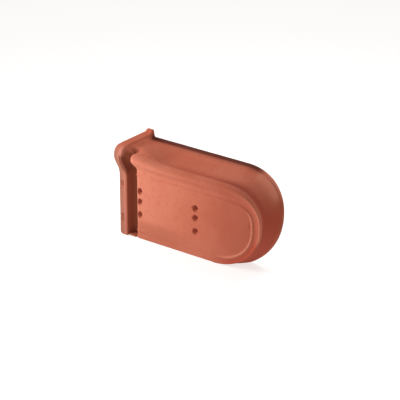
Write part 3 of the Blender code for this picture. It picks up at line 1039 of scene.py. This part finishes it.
@dataclass
class StampStrokes:
    """Two groups of short strokes pressed into the collar's flat strip. They aren't letters."""

    rows: int = 2
    count: int = 5
    row_spacing: float = 4.5 * MM
    spacing: float = 4.2 * MM
    length: float = 3.4 * MM
    width: float = 1.1 * MM
    depth: float = 0.7 * MM
    left: float = 8.5 * MM
    heights: Pair = (124 * MM, 44 * MM)
    seed: int = 7
    # Sides and rings of a stroke, and the least and the most that it is turned and stretched
    fineness: tuple[int, int] = (14, 8)
    turn: tuple = ((0.0, -0.5, 0.0), (0.0, 0.5, 0.0))
    stretch: tuple = ((0.6, 0.8, 0.8), (1.1, 1.2, 1.1))

    def tree(self) -> NodeTree:
        """Makes the tree that sets short strokes on a grid of places, each turned a little."""
        tree, given = new_tree("stamp_strokes", {
            "Rows": "Int", "Strokes in a row": "Int", "Row spacing": "Float", "Stroke spacing": "Float",
            "Stroke size": "Vector", "Place": "Vector", "Material": "Material", "Seed": "Int",
        })
        spans = []
        for count, spacing in (("Rows", "Row spacing"), ("Strokes in a row", "Stroke spacing")):
            gaps = add_node(tree, "ShaderNodeMath", {0: given[count], 1: 1.0}, operation="SUBTRACT")
            spans.append(add_node(tree, "ShaderNodeMath", {
                0: gaps.outputs[0], 1: given[spacing]}, operation="MULTIPLY").outputs[0])
        grid = add_node(tree, "GeometryNodeMeshGrid", {
            "Size X": spans[0], "Size Y": spans[1],
            "Vertices X": given["Rows"], "Vertices Y": given["Strokes in a row"],
        })
        upright = add_node(tree, "GeometryNodeTransform", {
            "Geometry": grid.outputs["Mesh"], "Rotation": (math.radians(90), 0.0, 0.0),
            "Translation": given["Place"],
        })
        sides, rings = self.fineness
        stroke = add_node(tree, "GeometryNodeMeshUVSphere", {
            "Segments": sides, "Rings": rings, "Radius": 0.5})
        shaped = add_node(tree, "GeometryNodeTransform", {
            "Geometry": stroke.outputs["Mesh"], "Scale": given["Stroke size"]})
        turned, stretched = [add_node(tree, "FunctionNodeRandomValue", {
            "Min": least, "Max": most, "Seed": given["Seed"]}, data_type="FLOAT_VECTOR").outputs["Value"]
            for least, most in (self.turn, self.stretch)]
        copies = add_node(tree, "GeometryNodeInstanceOnPoints", {
            "Points": upright.outputs["Geometry"], "Instance": shaped.outputs["Geometry"],
            "Rotation": turned, "Scale": stretched,
        })
        end_tree(tree, copies.outputs["Instances"], given["Material"])
        return tree

    def build(self, clay: Material, front: float) -> list[Object]:
        """Makes one mesh of strokes for each group.

        Args:
            clay: material of the cut faces.
            front: depth of the face that they are pressed into.

        Returns:
            The cutters, as plain meshes.
        """
        cutters = []
        for number, height in enumerate(self.heights):
            cutters.append(grow(f"stamp_{number}", self.tree(), {
                "Rows": self.rows, "Strokes in a row": self.count, "Row spacing": self.row_spacing,
                "Stroke spacing": self.spacing, "Stroke size": (self.width, 2 * self.depth, self.length),
                "Place": (self.left, front, height), "Material": clay, "Seed": self.seed + number,
            }))
        return cutters


@dataclass
class ClaySkin:
    """Uneven surface that hands and moulds leave on pressed clay. It only ever lowers the surface."""

    wave_height: float = 0.7 * MM
    wave_length: float = 55 * MM
    ripple_height: float = 0.22 * MM
    ripple_length: float = 9 * MM
    seed: int = 3
    detail: float = 2.0

    def tree(self) -> NodeTree:
        """Makes the tree that sinks each point along its normal by two sizes of noise."""
        tree, given = new_tree("clay_skin", {
            "Wave height": "Float", "Wave length": "Float", "Ripple height": "Float",
            "Ripple length": "Float", "Material": "Material", "Seed": "Int",
        })
        sinks = []
        for height, length in (("Wave height", "Wave length"), ("Ripple height", "Ripple length")):
            scale = add_node(tree, "ShaderNodeMath", {0: 1.0, 1: given[length]}, operation="DIVIDE")
            noise = add_node(tree, "ShaderNodeTexNoise", {
                "W": given["Seed"], "Scale": scale.outputs[0], "Detail": self.detail}, noise_dimensions="4D")
            sinks.append(add_node(tree, "ShaderNodeMath", {
                0: noise.outputs["Fac"], 1: given[height]}, operation="MULTIPLY").outputs[0])
        total = add_node(tree, "ShaderNodeMath", {0: sinks[0], 1: sinks[1]}, operation="ADD")
        down = add_node(tree, "ShaderNodeMath", {0: total.outputs[0], 1: -1.0}, operation="MULTIPLY")
        normal = add_node(tree, "GeometryNodeInputNormal")
        offset = add_node(tree, "ShaderNodeVectorMath", {
            0: normal.outputs["Normal"], "Scale": down.outputs[0]}, operation="SCALE")
        moved = add_node(tree, "GeometryNodeSetPosition", {
            "Geometry": given["Geometry"], "Offset": offset.outputs["Vector"]})
        end_tree(tree, moved.outputs["Geometry"], given["Material"])
        return tree

    def inputs(self, clay: Material) -> dict:
        """Values of the tree's inputs, by name."""
        return {
            "Wave height": self.wave_height, "Wave length": self.wave_length,
            "Ripple height": self.ripple_height, "Ripple length": self.ripple_length,
            "Material": clay, "Seed": self.seed,
        }


def set_inputs(modifier: NodesModifier, tree: NodeTree, values: dict) -> None:
    """Gives a modifier its tree and sets the tree's inputs by their identifiers.

    Args:
        modifier: the Geometry Nodes modifier.
        tree: the tree that it runs.
        values: the value of each input, by name.
    """
    modifier.node_group = tree
    for item in tree.interface.items_tree:
        if item.in_out == "INPUT" and item.name in values:
            modifier[item.identifier] = values[item.name]


def freeze(thing: Object, name: str) -> Object:
    """Turns an object with live modifiers into a plain mesh object, and removes it.

    Args:
        thing: the object.
        name: name of the new one.

    Returns:
        The plain mesh object, at the origin.
    """
    graph = bpy.context.evaluated_depsgraph_get()
    data = bpy.data.meshes.new_from_object(thing.evaluated_get(graph))
    data.name = name
    bpy.data.objects.remove(thing, do_unlink=True)
    return placed(name, data)


def grow(name: str, tree: NodeTree, values: dict) -> Object:
    """Makes a plain mesh from a tree that needs no mesh to start from.

    Args:
        name: name of the object.
        tree: the tree.
        values: the value of each of its inputs, by name.

    Returns:
        The mesh object.
    """
    seedling = placed(name + "_start", bpy.data.meshes.new(name + "_start"))
    set_inputs(seedling.modifiers.new("grow", "NODES"), tree, values)
    return freeze(seedling, name)


@dataclass(frozen=True)
class Terracotta:
    """Terracotta: red-firing clay, pressed in a mould and fired bare.

    To the eye it is dry and matte, a warm orange red with faint clouds from the kiln and fine sand in the
    surface. Painted shade darkens its channel, cove, tail and the underside of its rolls, painted highlights
    lie on its front near the head and on raised edges, and a dark band runs along its lip.
    """

    body: str = "#a8563f"
    # Colour and strength of each layer over the body, in the order in which they lie
    pale: tuple[str, float] = ("#af604a", 1.0)
    # Painted highlight: a pale sheen on the front near the head
    head_sheen: tuple[str, float] = ("#b9705a", 0.9)
    # Painted shade that darkens the tail
    tail: tuple[str, float] = ("#954a38", 1.0)
    foot: tuple[str, float] = ("#97503b", 0.6)
    deep: tuple[str, float] = ("#9c4733", 0.3)
    sand: tuple[str, float] = ("#bb7c64", 0.15)
    # Painted highlights on the ridge's crown, the bead and high on the rim
    painted_highlight: tuple[str, float] = ("#d2866c", 0.5)
    # Painted shade on the tail's wall, in the cove and on the bead where it turns down
    wall_shade: tuple[str, float] = ("#983f2c", 0.85)
    # Painted shade in the channel and on the collar's flank under its roll
    channel_shade: tuple[str, float] = ("#8c4932", 0.93)
    # Painted shade in the cove and under the collar's roll, and the dark band along the lip
    recess: tuple[str, float] = ("#4a1e15", 0.9)
    # The collar's roll, its strip and its darker outer half, which lie under the channel's painted shade
    collar: str = "#ac7062"
    strip: str = "#9c5d51"
    darker_end: str = "#835645"
    collar_strength: float = 0.8
    # Places along the tile between which the painted highlight, a pale sheen on its front near the head,
    # fades out
    head_sheen_x: Pair = (130 * MM, -230 * MM)
    # The same for the painted shade that darkens the tail
    tail_shade_x: Pair = (-10 * MM, 170 * MM)
    # Places between which the collar's paler front begins, and its darker outer half
    collar_x: Pair = (-181 * MM, -183 * MM)
    darker_end_x: Pair = (-192 * MM, -197 * MM)
    # Heights between which the collar's paler roll turns to its strip
    strip_z: Pair = (175 * MM, 150 * MM)
    # Heights between which the face darkens towards its foot, and the places along it where that fades out
    foot_z: Pair = (56 * MM, 34 * MM)
    foot_x: Pair = (60 * MM, -110 * MM)
    # Strength of the tail's painted shade on the wall and on the face
    tail_shade_strength: Pair = (0.25, 0.7)
    # Size and detail of each noise. Real sand is about 0.5 mm, too fine to show, so its grit is drawn three
    # times as coarse
    clouds: Pair = (75 * MM, 3.0)
    mottle: Pair = (9 * MM, 4.0)
    grit: Pair = (1.6 * MM, 2.0)
    # Part of each noise's range that shows
    cloud_range: Pair = (0.35, 0.65)
    mottle_range: Pair = (0.5, 0.75)
    grit_range: Pair = (0.6, 0.72)
    mottle_height: float = 0.4 * MM
    grit_height: float = 0.25 * MM
    bump: float = 0.35
    roughness: float = 0.9
    ior: float = 1.5
    specular: float = 0.15

    def build(self) -> Material:
        """Makes the material.

        Returns:
            The material, which reads the mesh's tone attributes.
        """
        clay = bpy.data.materials.new("fired_terracotta")
        clay.use_nodes = True
        tree = clay.node_tree
        tree.nodes.clear()
        place = add_node(tree, "ShaderNodeTexCoord").outputs["Object"]
        across = add_node(tree, "ShaderNodeSeparateXYZ", {"Vector": place}).outputs
        # All that a layer's share may follow, by name
        cue = {}
        for name in TONES:
            cue[name] = add_node(
                tree, "ShaderNodeAttribute", attribute_name=name, attribute_type="GEOMETRY").outputs["Fac"]
        for name, (size, detail) in (("clouds", self.clouds), ("mottle", self.mottle), ("grit", self.grit)):
            cue[name] = add_node(tree, "ShaderNodeTexNoise", {
                "Vector": place, "Scale": 1 / size, "Detail": detail}).outputs["Fac"]
        for name, value, (low, high) in (
            ("clouded", cue["clouds"], self.cloud_range), ("mottled", cue["mottle"], self.mottle_range),
            ("sandy", cue["grit"], self.grit_range), ("near head", across["X"], self.head_sheen_x),
            ("near tail", across["X"], self.tail_shade_x), ("near foot", across["Z"], self.foot_z),
            ("foot's length", across["X"], self.foot_x), ("on collar", across["X"], self.collar_x),
            ("strip", across["Z"], self.strip_z), ("darker_end", across["X"], self.darker_end_x),
        ):
            cue[name] = add_node(tree, "ShaderNodeMapRange", {
                "Value": value, "From Min": low, "From Max": high,
            }, interpolation_type="SMOOTHSTEP").outputs[0]
        on_wall, on_face = self.tail_shade_strength
        cue["tail side"] = add_node(tree, "ShaderNodeMapRange", {
            "Value": cue["face"], "To Min": on_wall, "To Max": on_face}).outputs[0]
        for name, first, second in (
            ("head_sheen", "near head", "face"), ("tail", "near tail", "tail side"),
            ("foot", "near foot", "foot's length"), ("collar", "on collar", "face"),
        ):
            cue[name] = add_node(tree, "ShaderNodeMath", {
                0: cue[first], 1: cue[second]}, operation="MULTIPLY").outputs[0]

        collar = linear(self.collar)
        for name, shade in (("strip", self.strip), ("darker_end", self.darker_end)):
            collar = add_node(tree, "ShaderNodeMix", {
                SHARE: cue[name], BELOW: collar, ABOVE: linear(shade)}, data_type="RGBA").outputs[MIXED]
        colour = linear(self.body)
        for name, (shade, strength) in (
            ("clouded", self.pale), ("head_sheen", self.head_sheen), ("tail", self.tail), ("foot", self.foot),
            ("mottled", self.deep), ("sandy", self.sand), ("painted_highlight", self.painted_highlight), ("wall", self.wall_shade),
            ("collar", (collar, self.collar_strength)), ("channel", self.channel_shade), ("groove", self.recess),
        ):
            share = add_node(tree, "ShaderNodeMath", {0: cue[name], 1: strength}, operation="MULTIPLY")
            over = linear(shade) if isinstance(shade, str) else shade
            colour = add_node(tree, "ShaderNodeMix", {
                SHARE: share.outputs[0], BELOW: colour, ABOVE: over}, data_type="RGBA").outputs[MIXED]

        lumps = add_node(tree, "ShaderNodeBump", {
            "Height": cue["mottle"], "Strength": self.bump, "Distance": self.mottle_height})
        grains = add_node(tree, "ShaderNodeBump", {
            "Height": cue["grit"], "Strength": self.bump, "Distance": self.grit_height,
            "Normal": lumps.outputs["Normal"],
        })
        shader = add_node(tree, "ShaderNodeBsdfPrincipled", {
            "Base Color": colour, "Roughness": self.roughness, "IOR": self.ior,
            "Specular IOR Level": self.specular, "Normal": grains.outputs["Normal"],
        })
        add_node(tree, "ShaderNodeOutputMaterial", {"Surface": shader.outputs["BSDF"]})
        return clay


@dataclass(frozen=True)
class Lamp:
    """Round soft light, by its place round the tile and its strength."""

    name: str
    azimuth: float
    elevation: float
    distance: float
    size: float
    power: float

    def build(self, middle: Vector) -> None:
        """Makes the light.

        Args:
            middle: the middle of the tile, which it looks at.
        """
        a, e = math.radians(self.azimuth), math.radians(self.elevation)
        way = Vector((math.sin(a) * math.cos(e), -math.cos(a) * math.cos(e), math.sin(e)))
        data = bpy.data.lights.new(self.name, "AREA")
        data.shape = "DISK"
        data.size = self.size
        data.energy = self.power
        lamp = placed(self.name, data)
        lamp.location = middle + way * self.distance
        lamp.rotation_euler = way.to_track_quat("Z", "Y").to_euler()


@dataclass
class Studio:
    """Pale floor, soft lights and the camera, at the photograph's viewing angle."""

    azimuth: float = 38.66
    elevation: float = 22.2
    distance: float = 4492.8 * MM
    aim_right: float = 185.7 * MM
    aim_up: float = 77.45 * MM
    focal_pixels: float = 1929.0
    image_pixels: float = 400.0
    sensor: float = 36.0
    clip_end: float = 60.0
    floor_half: float = 14.0
    floor_roughness: float = 0.95
    floor_colour: str = "#fbfaf9"
    floor_paper: str = "#a8a7a6"
    floor_glow: float = 0.75
    sky: str = "#ffffff"
    sky_strength: float = 0.5
    lamps: tuple[Lamp, ...] = (
        Lamp("key", azimuth=-52.0, elevation=14.0, distance=1.15, size=0.4, power=13.8),
        Lamp("top", azimuth=175.0, elevation=60.0, distance=1.3, size=0.9, power=10.0),
    )

    def camera(self, zero: Vector) -> None:
        """Makes the camera.

        Args:
            zero: the drawing frame's zero.
        """
        a, e = math.radians(self.azimuth), math.radians(self.elevation)
        right = Vector((math.cos(a), math.sin(a), 0.0))
        up = Vector((-math.sin(a) * math.sin(e), math.cos(a) * math.sin(e), math.cos(e)))
        back = right.cross(up)
        data = bpy.data.cameras.new("camera")
        data.sensor_width = self.sensor
        data.lens = self.focal_pixels / self.image_pixels * self.sensor
        data.clip_end = self.clip_end
        camera = placed("camera", data)
        turn = Matrix((right, up, back)).transposed().to_4x4()
        place = zero + right * self.aim_right + up * self.aim_up + back * self.distance
        camera.matrix_world = Matrix.Translation(place) @ turn
        bpy.context.scene.camera = camera

    def floor(self) -> Object:
        """Makes the floor that the tile stands on."""
        half = self.floor_half
        data = bpy.data.meshes.new("floor")
        corners = [(-half, -half, 0.0), (half, -half, 0.0), (half, half, 0.0), (-half, half, 0.0)]
        data.from_pydata(corners, [], [(0, 1, 2, 3)])
        paper = bpy.data.materials.new("pale_paper")
        paper.use_nodes = True
        shader = paper.node_tree.nodes["Principled BSDF"]
        for name, value in (
            ("Base Color", linear(self.floor_paper)), ("Roughness", self.floor_roughness),
            ("Emission Color", linear(self.floor_colour)), ("Emission Strength", self.floor_glow),
        ):
            shader.inputs[name].default_value = value
        data.materials.append(paper)
        return placed("floor", data)

    def lights(self, middle: Vector) -> None:
        """Makes the lamps and the sky.

        Args:
            middle: the middle of the tile.
        """
        for lamp in self.lamps:
            lamp.build(middle)
        world = bpy.data.worlds.new("sky")
        world.use_nodes = True
        background = world.node_tree.nodes["Background"]
        background.inputs["Color"].default_value = linear(self.sky)
        background.inputs["Strength"].default_value = self.sky_strength
        bpy.context.scene.world = world

    def build(self, zero: Vector, middle: Vector) -> Object:
        """Makes the whole studio.

        Args:
            zero: the drawing frame's zero.
            middle: the middle of the tile.

        Returns:
            The floor.
        """
        self.camera(zero)
        self.lights(middle)
        bpy.context.scene.view_settings.view_transform = "Standard"
        return self.floor()


def main() -> None:
    """Builds the tile and its studio, and reports each piece."""
    logging.basicConfig(level=logging.INFO, format="%(name)s: %(message)s")
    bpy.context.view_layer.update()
    low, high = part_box(TILE_NODE)
    clay = Terracotta().build()
    press = PressedTile()
    body = press.build()
    body.data.materials.append(clay)
    cutters = [press.pins()] + StampStrokes().build(clay, press.head.collar_front)
    for number, cutter in enumerate(cutters):
        cut = body.modifiers.new(f"cut_{number}", "BOOLEAN")
        cut.operation = "DIFFERENCE"
        cut.solver = "MANIFOLD"
        cut.object = cutter
    skin = ClaySkin()
    set_inputs(body.modifiers.new("skin", "NODES"), skin.tree(), skin.inputs(clay))
    tile = freeze(body, "terracotta_tile")
    for cutter in cutters:
        bpy.data.objects.remove(cutter, do_unlink=True)

    # The drawing's zero is at the head, the collar's front and the floor
    reach = press.roll.reach_head - press.head.collar_front
    zero = Vector((low.x, low.y + reach, low.z))
    tile.data.transform(Matrix.Translation(zero))
    tile.data.shade_smooth()
    tile.data.set_sharp_from_angle(angle=SHARP_ANGLE)
    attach(tile, "root")
    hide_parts(TILE_NODE)
    log.info("terracotta_tile: %d triangles", sum(len(p.vertices) - 2 for p in tile.data.polygons))

    floor = Studio().build(zero, (low + high) / 2)


if __name__ == "__main__":
    main()
